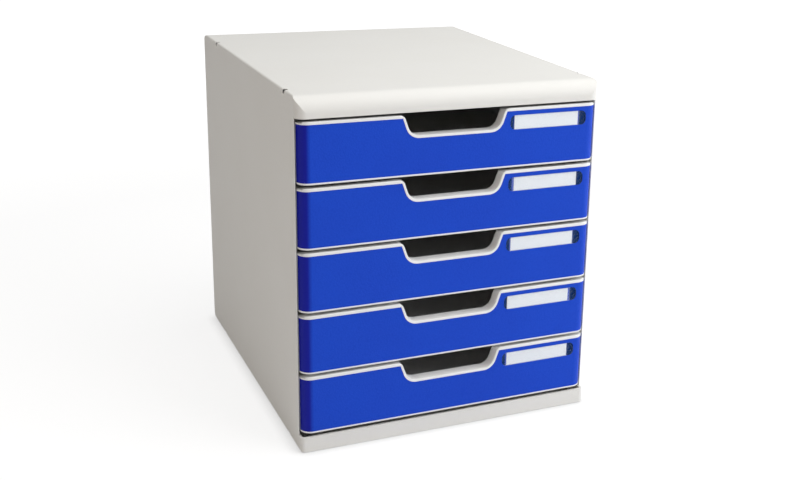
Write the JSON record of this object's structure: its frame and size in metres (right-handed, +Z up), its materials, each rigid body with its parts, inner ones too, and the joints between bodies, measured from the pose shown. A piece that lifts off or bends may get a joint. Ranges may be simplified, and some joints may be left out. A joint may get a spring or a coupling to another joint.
{
  "type": "desktop drawer unit",
  "caption": "Closed desktop drawer unit in light grey plastic, with blue drawer fronts, cut-out finger notches and label strips.",
  "frame": {"origin": "on the desk, below the middle of the casing", "axes": "+Z up; the drawer fronts face -Y and the drawers open towards -Y; +X to the right of a person facing the fronts"},
  "size_m": [0.288, 0.35, 0.325],
  "materials": {
    "casing_grey": "light grey, fine matt grain",
    "drawer_grey": "light grey, satin",
    "fascia_blue": "blue, fine pebble grain",
    "label_clear": "clear plastic strip",
    "label_paper": "blank white card",
    "foot_rubber": "grey anti-slip pad"
  },
  "bodies": {
    "casing": {"top_cover": "casing_grey", "left_side_panel": "casing_grey", "right_side_panel": "casing_grey", "back_panel": "casing_grey", "base_panel": "casing_grey", "foot_front_left": "foot_rubber", "foot_front_right": "foot_rubber", "foot_rear_left": "foot_rubber", "foot_rear_right": "foot_rubber"},
    "drawer_1": {"drawer_tray_1": "drawer_grey", "drawer_fascia_1": "fascia_blue", "label_card_1": "label_paper", "label_window_1": "label_clear"},
    "drawer_2": {"drawer_tray_2": "drawer_grey", "drawer_fascia_2": "fascia_blue", "label_card_2": "label_paper", "label_window_2": "label_clear"},
    "drawer_3": {"drawer_tray_3": "drawer_grey", "drawer_fascia_3": "fascia_blue", "label_card_3": "label_paper", "label_window_3": "label_clear"},
    "drawer_4": {"drawer_tray_4": "drawer_grey", "drawer_fascia_4": "fascia_blue", "label_card_4": "label_paper", "label_window_4": "label_clear"},
    "drawer_5": {"drawer_tray_5": "drawer_grey", "drawer_fascia_5": "fascia_blue", "label_card_5": "label_paper", "label_window_5": "label_clear"}
  },
  "joints": [
    {"name": "drawer_1_slide", "type": "slide", "parent": "casing", "child": "drawer_1", "axis": [0, -1, 0], "range_m": [0, 0.235]},
    {"name": "drawer_2_slide", "type": "slide", "parent": "casing", "child": "drawer_2", "axis": [0, -1, 0], "range_m": [0, 0.235]},
    {"name": "drawer_3_slide", "type": "slide", "parent": "casing", "child": "drawer_3", "axis": [0, -1, 0], "range_m": [0, 0.235]},
    {"name": "drawer_4_slide", "type": "slide", "parent": "casing", "child": "drawer_4", "axis": [0, -1, 0], "range_m": [0, 0.235]},
    {"name": "drawer_5_slide", "type": "slide", "parent": "casing", "child": "drawer_5", "axis": [0, -1, 0], "range_m": [0, 0.235]}
  ]
}
